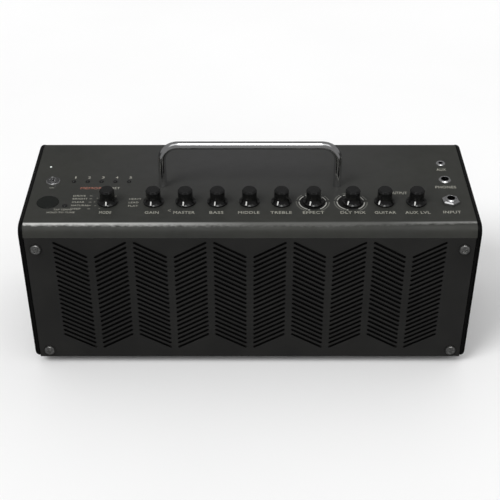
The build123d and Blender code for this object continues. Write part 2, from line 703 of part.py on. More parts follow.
def aux_jack():
    """Small stereo jack with a low ring on the panel."""
    x, y = RIGHT_COLUMN_X, AUX_Y
    half = AUX_BODY / 2
    body = block(x - half, x + half, y - half, y + half, PANEL_UNDER - AUX_DEPTH, PANEL_UNDER - 0.1)
    body += post(x, y, PANEL_UNDER - 1, PANEL + 0.5, AUX_RING_R - 1)
    ring = post(x, y, PANEL + 0.02, PANEL + AUX_RISE, AUX_RING_R)
    body += chamfer(ring.edges().sort_by(Axis.Z)[-1], AUX_BEVEL)
    return body - post(x, y, PANEL_UNDER - AUX_DEPTH + 1, PANEL + 9, AUX_BORE_R)


def dc_jack():
    """Round supply inlet with its centre pin, at the rear."""
    width, depth, height = DC_BODY
    z = MAIN_TOP + height / 2
    back = REAR_INNER - 0.1
    body = block(DC_X - width / 2, DC_X + width / 2, back - depth, back, MAIN_TOP, MAIN_TOP + height)
    body += rod_y(DC_X, z, back - 1, REAR - 0.5, DC_NOSE_R)
    body -= rod_y(DC_X, z, back - 9, REAR + 1, DC_BORE_R)
    return body + rod_y(DC_X, z, back - 9.5, back - 1, 1.0)


def usb_socket():
    """Square data socket with its tongue, at the rear."""
    width, depth, height = USB_BODY
    z = MAIN_TOP + height / 2
    back = REAR - 0.3
    body = block(USB_X - width / 2, USB_X + width / 2, back - depth, back, MAIN_TOP, MAIN_TOP + height)
    body -= block(USB_X - 4.25, USB_X + 4.25, back - 9, back + 1, z - 3.9, z + 3.9)
    return body + block(USB_X - 2.9, USB_X + 2.9, back - 9.5, back - 1.5, z - 1.6, z + 1.6)


# ---------------------------------------------------------------- handle and feet
def handle():
    """Bent rod: two legs, a straight grip, and turned-down threaded tails."""
    flat = HANDLE_X - HANDLE_BEND
    bend_z = HANDLE_AXIS_Z - HANDLE_BEND
    shift = HANDLE_BEND * math.sqrt(0.5)
    path = Plane.XZ * (
        Line((-HANDLE_X, PANEL), (-HANDLE_X, bend_z))
        + ThreePointArc((-HANDLE_X, bend_z), (-flat - shift, bend_z + shift), (-flat, HANDLE_AXIS_Z))
        + Line((-flat, HANDLE_AXIS_Z), (flat, HANDLE_AXIS_Z))
        + ThreePointArc((flat, HANDLE_AXIS_Z), (flat + shift, bend_z + shift), (HANDLE_X, bend_z))
        + Line((HANDLE_X, bend_z), (HANDLE_X, PANEL))
    )
    section = Plane((-HANDLE_X, 0, PANEL), z_dir=(0, 0, 1)) * Circle(HANDLE_R)
    rod = Pos(0, HANDLE_Y, 0) * sweep(section, path)
    for x in (-HANDLE_X, HANDLE_X):
        rod += post(x, HANDLE_Y, PANEL - HANDLE_TAIL, PANEL + 0.5, HANDLE_THREAD_R)
    return rod


def handle_nuts():
    """The two nuts under the panel that hold the handle."""
    nuts = []
    for x in (-HANDLE_X, HANDLE_X):
        nut = hexagon(x, HANDLE_Y, PANEL_UNDER - HANDLE_NUT, PANEL_UNDER, HANDLE_NUT_FLATS)
        nuts.append(nut - post(x, HANDLE_Y, 0, PANEL, HANDLE_THREAD_R + 0.05))
    return nuts


def feet():
    """Four rubber feet, each with a pocket for its screw."""
    foot = lathe([(0, 0), (FOOT_TIP_R, 0), (FOOT_R, UNDERSIDE), (0, UNDERSIDE)])
    foot -= post(0, 0, -1, FOOT_POCKET, FOOT_POCKET_R)
    foot -= post(0, 0, -1, UNDERSIDE + 1, CLEAR_R)
    return [Pos(x, y, 0) * foot for x, y in four_corners(FOOT_X, FOOT_Y)]


# ---------------------------------------------------------------- rear
def rear_panel():
    """Moulded rear panel with vents, socket cut-outs and the battery bay."""
    half = INNER_X - 0.3
    low, high = UNDERSIDE + 0.2, COVER_LIP - GAP
    panel = block(-half, half, REAR_INNER, REAR, low, high)
    outer, floor = BAY_HALF + BAY_WALL, BAY_FLOOR_Y - BAY_WALL
    panel += block(-outer, outer, floor, REAR_INNER + 1, BAY_LOW - BAY_WALL, BAY_HIGH + BAY_WALL)
    panel -= block(-BAY_HALF, BAY_HALF, BAY_FLOOR_Y, REAR + 1, BAY_LOW, BAY_HIGH)
    cutters = []
    for side in (-1, 1):
        span = BAY_HALF + HINGE_LENGTH + 0.3
        pin_hole = Rot(0, 90, 0) * Cylinder(HINGE_R + HINGE_CLEARANCE, span)
        cutters.append(Pos(side * span / 2, HINGE_Y, HINGE_Z) * pin_hole)
        for z in (FRONT_SCREW_LOW_Z, FRONT_SCREW_HIGH_Z):
            x = side * FRONT_SCREW_X
            cutters.append(rod_y(x, z, REAR_INNER - 1, REAR + 1, CLEAR_R))
        for column in range(VENT_COLUMNS):
            x = side * (40 + VENT_PITCH * column)
            vent = SlotOverall(VENT[1], VENT[0], rotation=90)
            slot = extrude(Plane.XZ * Pos(x, VENT_Z) * vent, DEPTH)
            cutters.append(Pos(0, REAR_INNER - 1 + DEPTH, 0) * slot)
    dc_z = MAIN_TOP + DC_BODY[2] / 2
    usb_z = MAIN_TOP + USB_BODY[2] / 2
    cutters.append(rod_y(DC_X, dc_z, REAR_INNER - 1, REAR + 1, DC_NOSE_R + 0.2))
    wide, tall = USB_BODY[0] / 2 + 0.3, USB_BODY[2] / 2 + 0.3
    cutters.append(block(USB_X - wide, USB_X + wide, REAR_INNER - 1, REAR + 1, usb_z - tall, usb_z + tall))
    return panel - cutters


def battery_door():
    """Lid of the bay; it turns on two moulded pins at its lower edge."""
    half = BAY_HALF - 0.3
    door = block(-half, half, REAR_INNER, REAR, HINGE_Z, BAY_HIGH - 0.3)
    barrel = Pos(0, HINGE_Y, HINGE_Z) * Rot(0, 90, 0) * Cylinder(REAR_SHEET / 2, 2 * half)
    pins = Pos(0, HINGE_Y, HINGE_Z) * Rot(0, 90, 0) * Cylinder(HINGE_R, 2 * (BAY_HALF + HINGE_LENGTH))
    grip = Pos(0, REAR, BAY_HIGH - 9) * Rot(90, 0, 0) * extrude(SlotOverall(26, 9), 1.2)
    return door + barrel + pins - grip


def battery_contacts():
    """Spring contacts at one end of each row of cells, button plates at the other."""
    solids = []
    middle_y = (BAY_FLOOR_Y + REAR_INNER) / 2
    middle_z = (BAY_LOW + BAY_HIGH) / 2
    for row in range(4):
        z = middle_z + (row - 1.5) * CELL_PITCH
        side = 1 if row % 2 == 0 else -1
        wall = side * (BAY_HALF - 0.1)
        plate = block(wall - side * 0.5, wall, middle_y - 5, middle_y + 5, z - 5, z + 5)
        far = -wall
        button_plate = block(far + side * 0.5, far, middle_y - 5, middle_y + 5, z - 5, z + 5)
        coil = Helix(1.5, 4.5, 3.0, center=(0, 0, 0), direction=(0, 0, 1), cone_angle=-12)
        section = Plane(coil @ 0, z_dir=coil % 0) * Circle(0.35)
        spring = sweep(section, coil, is_frenet=True)
        place = Pos(wall - side * 0.3, middle_y, z) * Rot(0, -90 * side, 0)
        solids.append(plate + place * spring)
        solids.append(button_plate)
    return solids


# ---------------------------------------------------------------- the identical M3 screws
def case_screws():
    """Every M3 screw of the case, boards, drivers and feet."""
    one = screw(SCREW_HEAD_R, SCREW_HEAD, SCREW_R, SCREW_LENGTH)
    upward = Rot(180, 0, 0) * one
    to_front = Rot(-90, 0, 0) * one
    ledge_under = PANEL_UNDER - COVER_BOSS - 0.1 - TOP_LEDGE
    screws = [Pos(x, y, FOOT_POCKET) * upward for x, y in four_corners(FOOT_X, FOOT_Y)]
    screws += [Pos(x, y, UNDERSIDE) * upward for x, y in four_corners(EDGE_SCREW_X, LEDGE_Y)]
    screws += [Pos(x, y, ledge_under) * upward for x, y in four_corners(EDGE_SCREW_X, TOP_LEDGE_Y)]
    screws += [Pos(x, y, CONTROL_UNDER) * upward for x, y in CONTROL_SPACERS]
    screws += [Pos(x, y, MAIN_TOP) * one for x, y in MAIN_SPACERS]
    screws += [Pos(x, BAFFLE_BACK + FLANGE, z) * to_front for x, z in driver_screw_places()]
    for side in (-1, 1):
        screws += [Pos(side * EDGE_SCREW_X, BAFFLE_BACK + 0.1 + LUG, z) * to_front for z in LUG_Z]
        for z in (FRONT_SCREW_LOW_Z, FRONT_SCREW_HIGH_Z):
            screws.append(Pos(side * FRONT_SCREW_X, REAR, z) * to_front)
    return screws


# ---------------------------------------------------------------- write every node
def all_parts():
    """Node name to solid or list of solids."""
    cheek = right_cheek()
    parts = {
        "top_cover": top_cover(),
        "front_grille": front_grille(),
        "grille_cloth": grille_cloth(),
        "grille_screws": grille_screws(),
        "right_cheek": cheek,
        "left_cheek": mirror(cheek, Plane.YZ),
        "base_pan": base_pan(),
        "rear_panel": rear_panel(),
        "battery_door": battery_door(),
        "battery_contacts": battery_contacts(),
        "case_screws": case_screws(),
        "speaker_baffle": speaker_baffle(),
        "speaker_baskets": [speaker_basket(side) for side in (-1, 1)],
        "speaker_magnets": [speaker_magnet(side) for side in (-1, 1)],
        "speaker_surrounds": [speaker_surround(side) for side in (-1, 1)],
        "left_cone": cone(-1),
        "right_cone": cone(1),
        "potentiometers": [potentiometer(x) for x in KNOB_X.values()],
        "control_board": control_board(),
        "main_board": main_board(),
        "board_spacers": board_spacers(),
        "power_switch_body": power_switch_body(),
        "power_switch_lever": power_switch_lever(),
        "display_lens": display_lens(),
        "status_lamp": status_lamp(),
        "tap_button": button(TAP_X, TAP_Y, TAP_R),
        "input_jack": input_jack(),
        "input_jack_nut": input_jack_nut(),
        "phones_jack": phones_jack(),
        "aux_jack": aux_jack(),
        "dc_jack": dc_jack(),
        "usb_socket": usb_socket(),
        "handle": handle(),
        "handle_nuts": handle_nuts(),
        "feet": feet(),
    }
    for name in KNOB_X:
        parts[name + "_knob"] = knob(name)
        parts[name + "_shaft"] = shaft(name)
    for number, x in enumerate(button_places(), start=1):
        parts["memory_button_" + str(number)] = button(x, BUTTON_Y, BUTTON_R)
    return parts


os.makedirs("parts", exist_ok=True)
for node, shape in all_parts().items():
    pieces = shape if isinstance(shape, list) else [shape]
    solids = [solid for piece in pieces for solid in piece.solids()]
    export_step(Compound(children=solids), "parts/" + node + ".step")
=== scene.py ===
"""Looks of a desktop guitar amplifier: finishes, printed legends, light, floor and camera."""
import math

import bmesh
import bpy
from mathutils import Matrix, Vector


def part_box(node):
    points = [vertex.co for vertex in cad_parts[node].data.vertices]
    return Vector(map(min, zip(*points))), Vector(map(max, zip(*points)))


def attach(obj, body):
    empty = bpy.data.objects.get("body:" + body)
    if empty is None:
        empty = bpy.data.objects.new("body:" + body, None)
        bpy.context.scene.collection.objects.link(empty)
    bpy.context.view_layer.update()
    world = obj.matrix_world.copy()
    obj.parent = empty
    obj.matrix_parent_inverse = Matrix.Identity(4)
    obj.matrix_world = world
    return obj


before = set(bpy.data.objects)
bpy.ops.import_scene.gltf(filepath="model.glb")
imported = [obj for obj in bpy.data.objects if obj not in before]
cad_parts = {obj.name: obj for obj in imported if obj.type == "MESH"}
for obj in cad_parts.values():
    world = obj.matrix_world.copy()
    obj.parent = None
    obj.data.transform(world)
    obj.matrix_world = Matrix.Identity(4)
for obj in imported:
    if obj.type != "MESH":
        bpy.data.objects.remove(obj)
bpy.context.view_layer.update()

MM = 0.001
KNOBS = ("mode", "gain", "master", "bass", "middle", "treble", "effect", "delay", "guitar", "aux")
MEMORY_BUTTONS = 5

# ---------------------------------------------------------------- places, in mm, from the frame


def corners(node):
    """Lowest and highest corner of a CAD node, in mm."""
    low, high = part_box(node)
    return low / MM, high / MM


def centre(node):
    """Middle of a CAD node's box, in mm."""
    low, high = corners(node)
    return (low + high) / 2


HALF_WIDTH = corners("top_cover")[1].x
PANEL_Z = corners("top_cover")[1].z
REAR_Y = corners("rear_panel")[1].y
# The sloping face of a knob's pointer rib, as heights over the panel and radii.
KNOB_LIFT = 0.5
RIB_KINK = 1.5
RIB_TOP = 6.4
RIB_OUTER_R = 8.2
RIB_INNER_R = 6.25
KINK_TOLERANCE = 0.02
TIP_TOLERANCE = 0.05


def rib_turn(name):
    """Angle about +Z of a knob's pointer rib, found from the outermost points of the flare."""
    middle = centre(name + "_shaft")
    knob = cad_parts[name + "_knob"]
    above_rim = PANEL_Z + KNOB_LIFT + RIB_KINK
    tips = []
    for vertex in knob.data.vertices:
        spot = vertex.co / MM - middle
        on_kink = abs(vertex.co.z / MM - above_rim) < KINK_TOLERANCE
        if on_kink and math.hypot(spot.x, spot.y) > RIB_OUTER_R - TIP_TOLERANCE:
            tips.append(Vector((spot.x, spot.y)))
    aim = sum(tips, Vector((0, 0)))
    return math.atan2(aim.y, aim.x)


# ---------------------------------------------------------------- finishes
# The range that most of a noise's values fall in.
NOISE_BAND = (0.35, 0.65)
BEVEL_SAMPLES = 4
# Cosine between the rounded and the true normal, on a flat and on an edge.
EDGE_COSINES = (0.98, 0.8)


class Finish:
    """A principled material and the procedural chains that feed it."""

    def __init__(self, name, colour, roughness, metallic=0.0, specular=0.5):
        self.material = bpy.data.materials.new(name)
        self.material.use_nodes = True
        self.tree = self.material.node_tree
        self.shader = self.tree.nodes["Principled BSDF"]
        self.place = self.add("ShaderNodeTexCoord").outputs["Object"]
        self.colour = (*colour, 1)
        self.normal = None
        self.put("Base Color", self.colour)
        self.put("Roughness", roughness)
        self.put("Metallic", metallic)
        self.put("Specular IOR Level", specular)

    def add(self, kind, **settings):
        """A new node with the given settings."""
        node = self.tree.nodes.new(kind)
        for key, value in settings.items():
            setattr(node, key, value)
        return node

    def feed(self, socket, value):
        """Link a socket to an input, or set the input's value."""
        if isinstance(value, bpy.types.NodeSocket):
            self.tree.links.new(value, socket)
        else:
            socket.default_value = value

    def put(self, name, value):
        """Set or link one input of the shader."""
        self.feed(self.shader.inputs[name], value)

    def math(self, operation, first, second=0.0):
        """One math node."""
        node = self.add("ShaderNodeMath", operation=operation)
        self.feed(node.inputs[0], first)
        self.feed(node.inputs[1], second)
        return node.outputs[0]

    def stretched(self, x, y, z):
        """The object's coordinates, scaled along each axis."""
        node = self.add("ShaderNodeVectorMath", operation="MULTIPLY")
        self.feed(node.inputs[0], self.place)
        node.inputs[1].default_value = (x, y, z)
        return node.outputs[0]

    def axes(self, vector=None):
        """The three parts of a vector, by default of the place."""
        node = self.add("ShaderNodeSeparateXYZ")
        self.feed(node.inputs[0], vector or self.place)
        return node.outputs

    def facing(self):
        """The three parts of the surface's true normal."""
        return self.axes(self.add("ShaderNodeNewGeometry").outputs["Normal"])

    def noise(self, size_mm, detail=3.0, vector=None):
        """Noise whose blobs are about size_mm across."""
        node = self.add("ShaderNodeTexNoise")
        self.feed(node.inputs["Vector"], vector or self.place)
        node.inputs["Scale"].default_value = 1 / (size_mm * MM)
        node.inputs["Detail"].default_value = detail
        return node.outputs[0]

    def remap(self, value, low, high, to_low=0.0, to_high=1.0):
        """Stretch a value from one range to another."""
        node = self.add("ShaderNodeMapRange")
        for socket, number in zip(node.inputs, (value, low, high, to_low, to_high)):
            self.feed(socket, number)
        return node.outputs[0]

    def ramp(self, value, stops):
        """Grey ramp through (position, brightness) stops."""
        node = self.add("ShaderNodeValToRGB")
        self.feed(node.inputs[0], value)
        band = node.color_ramp.elements
        while len(band) < len(stops):
            band.new(0.5)
        for element, (position, grey) in zip(band, stops):
            element.position = position
            element.color = (grey, grey, grey, 1)
        return node.outputs[0]

    def mix(self, factor, first, second):
        """Blend two colours."""
        node = self.add("ShaderNodeMix", data_type="RGBA")
        self.feed(node.inputs[0], factor)
        self.feed(node.inputs[6], first)
        self.feed(node.inputs[7], second)
        return node.outputs[2]

    def tint(self, mask, other):
        """Turn the base colour into another one where the mask is 1."""
        self.colour = self.mix(mask, self.colour, other)
        self.put("Base Color", self.colour)
        return self

    def mottle(self, other, size_mm, share=1.0):
        """Drift the base colour towards another one in soft patches."""
        patches = self.remap(self.noise(size_mm), *NOISE_BAND, 0.0, share)
        return self.tint(patches, (*other, 1))

    def uneven_gloss(self, low, high, size_mm):
        """Let the roughness wander between two values."""
        self.put("Roughness", self.remap(self.noise(size_mm), *NOISE_BAND, low, high))
        return self

    def rounded_edges(self, radius_mm):
        """Catch light on hard edges as if they were slightly broken."""
        node = self.add("ShaderNodeBevel", samples=BEVEL_SAMPLES)
        node.inputs["Radius"].default_value = radius_mm * MM
        self.normal = node.outputs[0]
        self.put("Normal", self.normal)
        return self

    def relief(self, height, depth_mm, strength=1.0):
        """Raise the surface by a height pattern."""
        node = self.add("ShaderNodeBump")
        node.inputs["Strength"].default_value = strength
        node.inputs["Distance"].default_value = depth_mm * MM
        self.feed(node.inputs["Height"], height)
        if self.normal is not None:
            self.feed(node.inputs["Normal"], self.normal)
        self.normal = node.outputs[0]
        self.put("Normal", self.normal)
        return self

    def grain(self, size_mm, depth_mm, strength=1.0):
        """Fine all-over texture."""
        return self.relief(self.noise(size_mm, detail=2.0), depth_mm, strength)

    def edge_mask(self, radius_mm):
        """1 along hard edges, 0 on flats."""
        bevel = self.add("ShaderNodeBevel", samples=BEVEL_SAMPLES)
        bevel.inputs["Radius"].default_value = radius_mm * MM
        true = self.add("ShaderNodeNewGeometry").outputs["Normal"]
        dot = self.add("ShaderNodeVectorMath", operation="DOT_PRODUCT")
        self.feed(dot.inputs[0], bevel.outputs[0])
        self.feed(dot.inputs[1], true)
        return self.remap(dot.outputs["Value"], *EDGE_COSINES)

    def wear(self, mask, colour, roughness):
        """Show another surface where the mask is 1, for real wear and for painted highlights."""
        self.tint(mask, (*colour, 1))
        under = self.shader.inputs["Roughness"]
        held = under.links[0].from_socket if under.links else under.default_value
        self.put("Roughness", self.remap(mask, 0.0, 1.0, held, roughness))
        return self


def handled_area(finish):
    """Painted sheen: 1 round the handle, where the panel is tinted paler as if catching more light,
    0 towards the front and both ends of the panel.
    """
    sideways, deep, _ = finish.axes()
    central = finish.remap(finish.math("ABSOLUTE", sideways), 0.15, 0.04)
    return finish.math("MULTIPLY", central, finish.remap(deep, -0.05, 0.02))


def rubbed_bend(finish):
    """How much of the front bend shows worn steel and painted highlight, most at its two ends and
    strongest at the left.
    """
    forward = finish.math("MULTIPLY", finish.facing()[1], -1.0)
    along = finish.remap(finish.axes()[0], -HALF_WIDTH * MM, HALF_WIDTH * MM)
    speckle = finish.noise(1.6, detail=6.0, vector=finish.stretched(0.4, 1, 1))
    ragged = finish.math("ADD", forward, finish.remap(speckle, *NOISE_BAND, -0.05, 0.05))
    begin = finish.remap(along, 0.0, 1.0, 0.25, 0.10)
    above = finish.remap(finish.math("SUBTRACT", forward, begin), 0.0, 0.12)
    reach = finish.ramp(along, ((0.0, 0.47), (0.3, 0.5), (0.7, 0.52), (1.0, 0.28)))
    below = finish.remap(finish.math("SUBTRACT", ragged, reach), -0.10, 0.10, 1.0, 0.0)
    band = finish.math("MULTIPLY", above, below)
    # Painted highlight: the strength along the bend follows where the bend catches light.
    fade = finish.ramp(along, ((0.0, 0.98), (0.3, 0.48), (0.5, 0.13), (0.8, 0.10), (1.0, 0.36)))
    return finish.math("MULTIPLY", band, fade)


def panel_paint():
    """Olive-grey powder coat with painted sheen that makes it paler in the middle, rubbed bright
    and given a painted highlight along the front bend.
    """
    finish = Finish("panel_powder_coat", (0.0325, 0.0333, 0.0288), 0.5, specular=0.3)
    finish.mottle((0.0285, 0.0295, 0.0265), 70)
    finish.mottle((0.040, 0.040, 0.037), 9, share=0.35)
    # Painted sheen: paler, more neutral paint round the handle.
    finish.tint(handled_area(finish), (0.0425, 0.0425, 0.0425, 1))
    finish.uneven_gloss(0.42, 0.52, 12)
    # Worn steel and painted highlight along the front bend.
    finish.wear(rubbed_bend(finish), (0.62, 0.62, 0.60), 0.4)
    finish.grain(0.45, 0.02, 0.5)
    return finish.material


def grille_paint():
    """Near-black powder coat on the slotted plate, with painted shade on the slot walls and lighter
    edges of wear and painted highlight.
    """
    finish = Finish("grille_powder_coat", (0.0150, 0.0148, 0.0142), 0.55, specular=0.2)
    finish.mottle((0.0185, 0.0182, 0.0172), 40)
    # Painted shade: the walls of the slots are tinted near black.
    slot_wall_shade = finish.math("LESS_THAN", finish.math("ABSOLUTE", finish.facing()[1]), 0.5)
    finish.tint(slot_wall_shade, (0.001, 0.001, 0.001, 1))
    # Edge wear and painted highlight: hard edges tinted a little lighter, as where the rib edges
    # catch light.
    finish.wear(finish.edge_mask(0.2), (0.018, 0.018, 0.017), 0.45)
    finish.rounded_edges(0.25)
    finish.grain(0.4, 0.02, 0.5)
    return finish.material


def cheek_moulding():
    """Glossy black moulded plastic with a faint ripple, its flat side tinted paler than its edges
    as a little dust and painted sheen.
    """
    finish = Finish("cheek_gloss_black", (0.0014, 0.0014, 0.0014), 0.2, specular=0.14)
    finish.mottle((0.003, 0.003, 0.003), 6, share=0.35)
    side_on = finish.remap(finish.math("ABSOLUTE", finish.facing()[0]), 0.9, 0.99)
    # Dust and painted sheen: the flat side is tinted paler than the edges.
    dust_and_sheen = finish.remap(finish.noise(45, detail=4.0), 0.3, 0.7, 0.006, 0.014)
    finish.tint(side_on, dust_and_sheen)
    finish.put("Specular IOR Level", finish.remap(side_on, 0.0, 1.0, 0.14, 0.4))
    finish.uneven_gloss(0.18, 0.32, 25)
    finish.relief(finish.noise(18, detail=1.0), 0.06, 0.35)
    finish.grain(1.2, 0.006, 0.3)
    return finish.material


def chrome_plate():
    """Bright chrome with light smears."""
    finish = Finish("chrome_plate", (0.72, 0.72, 0.73), 0.08, metallic=1.0)
    finish.mottle((0.6, 0.6, 0.6), 5, share=0.3)
    finish.uneven_gloss(0.05, 0.16, 7)
    finish.rounded_edges(0.2)
    finish.grain(0.8, 0.004, 0.3)
    return finish.material


def switch_plating():
    """Dark chrome of the toggle switch, with a painted highlight where its surface slopes."""
    finish = Finish("switch_dark_chrome", (0.3, 0.3, 0.305), 0.2, metallic=1.0)
    finish.mottle((0.2, 0.2, 0.2), 2)
    # Painted highlight: sloping faces are tinted bright chrome.
    painted_glint = finish.remap(finish.facing()[2], 0.97, 0.85)
    finish.wear(painted_glint, (0.85, 0.85, 0.85), 0.35)
    finish.grain(0.8, 0.004, 0.3)
    return finish.material


def screw_plating():
    """Zinc plate with dull patches, rubbed brighter on the edges of heads and recesses."""
    finish = Finish("screw_zinc", (0.5, 0.5, 0.49), 0.36, metallic=1.0)
    finish.mottle((0.2, 0.2, 0.195), 1.6)
    finish.wear(finish.edge_mask(0.3), (0.9, 0.9, 0.88), 0.3)
    finish.rounded_edges(0.2)
    finish.grain(0.35, 0.02, 0.6)
    return finish.material


def knob_moulding():
    """Gloss black knob plastic with hairline scratches and finger marks."""
    finish = Finish("knob_gloss_black", (0.004, 0.004, 0.004), 0.12, specular=0.5)
    finish.mottle((0.007, 0.007, 0.007), 2.5, share=0.5)
    finish.uneven_gloss(0.09, 0.17, 2.0)
    finish.rounded_edges(0.3)
    finish.grain(0.5, 0.008, 0.4)
    return finish.material


def shaft_plating():
    """Nickel-plated shafts with turning marks."""
    finish = Finish("shaft_nickel", (0.55, 0.53, 0.48), 0.3, metallic=1.0)
    finish.mottle((0.42, 0.4, 0.36), 2)
    rings = finish.noise(0.4, vector=finish.stretched(0.05, 0.05, 1))
    return finish.relief(rings, 0.02, 0.5).material


def button_moulding():
    """Gloss black domed buttons, polished by fingers."""
    finish = Finish("button_gloss_black", (0.009, 0.009, 0.009), 0.2, specular=0.5)
    finish.mottle((0.014, 0.014, 0.014), 1.2, share=0.6)
    finish.uneven_gloss(0.12, 0.24, 1.5)
    finish.grain(0.5, 0.004, 0.3)
    return finish.material


def smoked_window():
    """Smoked acrylic over the tuner display."""
    finish = Finish("smoked_acrylic", (0.0045, 0.0056, 0.0046), 0.2, specular=0.25)
    finish.mottle((0.0065, 0.008, 0.0065), 5, share=0.6)
    finish.uneven_gloss(0.14, 0.24, 6)
    finish.put("Coat Weight", 0.15)
    return finish.material


def lamp_moulding():
    """Milky light pipe, lit from below."""
    finish = Finish("lamp_milky", (0.7, 0.72, 0.7), 0.25)
    finish.mottle((0.5, 0.55, 0.52), 0.6)
    finish.put("Emission Color", (0.85, 0.95, 0.9, 1))
    finish.put("Emission Strength", 0.3)
    return finish.material


def woven(name, colour, thread_mm, depth_mm, roughness, sheen=0.0):
    """Plain weave that lies in the XZ plane."""
    finish = Finish(name, colour, roughness, specular=0.2)
    x, _, z = finish.axes()
    turn = math.pi / (thread_mm * MM)
    warp = finish.math("SINE", finish.math("MULTIPLY", x, turn))
    weft = finish.math("SINE", finish.math("MULTIPLY", z, turn))
    cloth = finish.math("MULTIPLY", warp, weft)
    finish.tint(finish.remap(cloth, -1, 1, 0.0, 0.6), (0, 0, 0, 1))
    finish.put("Sheen Weight", sheen)
    return finish.relief(cloth, depth_mm).material


def rubber_compound():
    """Matt black rubber with talc in the grain."""
    finish = Finish("rubber_black", (0.012, 0.012, 0.012), 0.75, specular=0.25)
    finish.mottle((0.025, 0.025, 0.025), 1.5, share=0.5)
    finish.rounded_edges(0.3)
    finish.grain(0.5, 0.04, 0.6)
    return finish.material


def case_moulding():
    """Spark-eroded texture on the black rear mouldings."""
    finish = Finish("case_textured_black", (0.012, 0.012, 0.012), 0.5, specular=0.35)
    finish.mottle((0.018, 0.018, 0.018), 30, share=0.6)
    finish.wear(finish.edge_mask(0.4), (0.035, 0.035, 0.035), 0.36)
    finish.rounded_edges(0.35)
    finish.grain(0.5, 0.05, 0.6)
    return finish.material


def pan_paint():
    """Thin black paint over zinc on the folded base."""
    finish = Finish("pan_black_paint", (0.02, 0.02, 0.02), 0.45, specular=0.4)
    finish.mottle((0.03, 0.03, 0.03), 12, share=0.6)
    finish.wear(finish.edge_mask(0.3), (0.2, 0.2, 0.2), 0.35)
    finish.grain(0.6, 0.02, 0.5)
    return finish.material


def circuit_board():
    """Green solder mask over copper tracks, with tinned pads, near black on every upright face."""
    finish = Finish("circuit_board", (0.012, 0.07, 0.03), 0.35, specular=0.5)
    tracks = finish.add("ShaderNodeTexBrick", offset=0.35)
    finish.feed(tracks.inputs["Vector"], finish.stretched(1, 1, 0))
    tracks.inputs["Scale"].default_value = 120
    tracks.inputs["Mortar Size"].default_value = 0.03
    copper = finish.math("LESS_THAN", tracks.outputs["Fac"], 0.5)
    finish.colour = finish.mix(copper, (0.03, 0.12, 0.05, 1), finish.colour)
    pads = finish.add("ShaderNodeTexVoronoi")
    finish.feed(pads.inputs["Vector"], finish.stretched(1, 1, 0.01))
    pads.inputs["Scale"].default_value = 260
    round_pad = finish.math("LESS_THAN", pads.outputs["Distance"], 0.16)
    finish.tint(round_pad, (0.5, 0.5, 0.47, 1))
    # Darker on upright faces, chosen by orientation alone.
    side_on = finish.math("LESS_THAN", finish.math("ABSOLUTE", finish.facing()[2]), 0.5)
    finish.tint(side_on, (0.02, 0.02, 0.02, 1))
    return finish.relief(tracks.outputs["Fac"], 0.03, 0.4).material


def component_plating():
    """Tinned steel of pots, sockets and spring contacts."""
    finish = Finish("tinned_steel", (0.5, 0.5, 0.48), 0.32, metallic=1.0)
    finish.mottle((0.36, 0.36, 0.34), 3)
    finish.rounded_edges(0.2)
    finish.grain(0.6, 0.01, 0.5)
    return finish.material


def socket_moulding():
    """Black nylon of the power socket."""
    finish = Finish("socket_nylon", (0.015, 0.015, 0.015), 0.38)
    finish.mottle((0.024, 0.024, 0.024), 1.5, share=0.6)
    finish.rounded_edges(0.2)
    finish.grain(0.3, 0.01, 0.5)
    return finish.material


def fibre_board():
    """Black-stained fibreboard baffle."""
    finish = Finish("baffle_fibreboard", (0.03, 0.026, 0.022), 0.85, specular=0.2)
    finish.mottle((0.05, 0.042, 0.034), 1.2)
    fibres = finish.noise(0.8, detail=6.0, vector=finish.stretched(0.3, 1, 1))
    return finish.relief(fibres, 0.08, 0.6).material


def basket_paint():
    """Black electrocoat on the pressed baskets."""
    finish = Finish("basket_electrocoat", (0.02, 0.02, 0.02), 0.35, specular=0.5)
    finish.mottle((0.03, 0.03, 0.03), 8, share=0.6)
    finish.wear(finish.edge_mask(0.3), (0.12, 0.12, 0.12), 0.3)
    finish.grain(0.7, 0.02, 0.5)
    return finish.material


def ferrite():
    """Sintered ferrite with small chips."""
    finish = Finish("ferrite_grey", (0.07, 0.07, 0.072), 0.6)
    finish.mottle((0.04, 0.04, 0.042), 0.8)
    finish.wear(finish.edge_mask(0.6), (0.13, 0.13, 0.13), 0.7)
    finish.grain(0.9, 0.05, 0.7)
    return finish.material


def cone_pulp():
    """Pressed black paper pulp."""
    finish = Finish("cone_paper_pulp", (0.02, 0.02, 0.019), 0.8, specular=0.2)
    finish.mottle((0.04, 0.039, 0.036), 1.6)
    finish.relief(finish.noise(1.1, detail=6.0), 0.1, 0.7)
    return finish.material


def brass_stock():
    """Turned brass spacers, a little tarnished."""
    finish = Finish("brass_turned", (0.6, 0.42, 0.16), 0.3, metallic=1.0)
    finish.mottle((0.42, 0.28, 0.12), 2.5)
    finish.rounded_edges(0.2)
    rings = finish.noise(0.5, vector=finish.stretched(0.05, 0.05, 1))
    return finish.relief(rings, 0.02, 0.5).material


def ink(name, colour):
    """Screen-printed ink, slightly patchy."""
    finish = Finish(name, colour, 0.6, specular=0.3)
    darker = tuple(0.6 * part for part in colour)
    finish.mottle(darker, 1.1, share=0.7)
    finish.grain(0.3, 0.004, 0.5)
    return finish.material


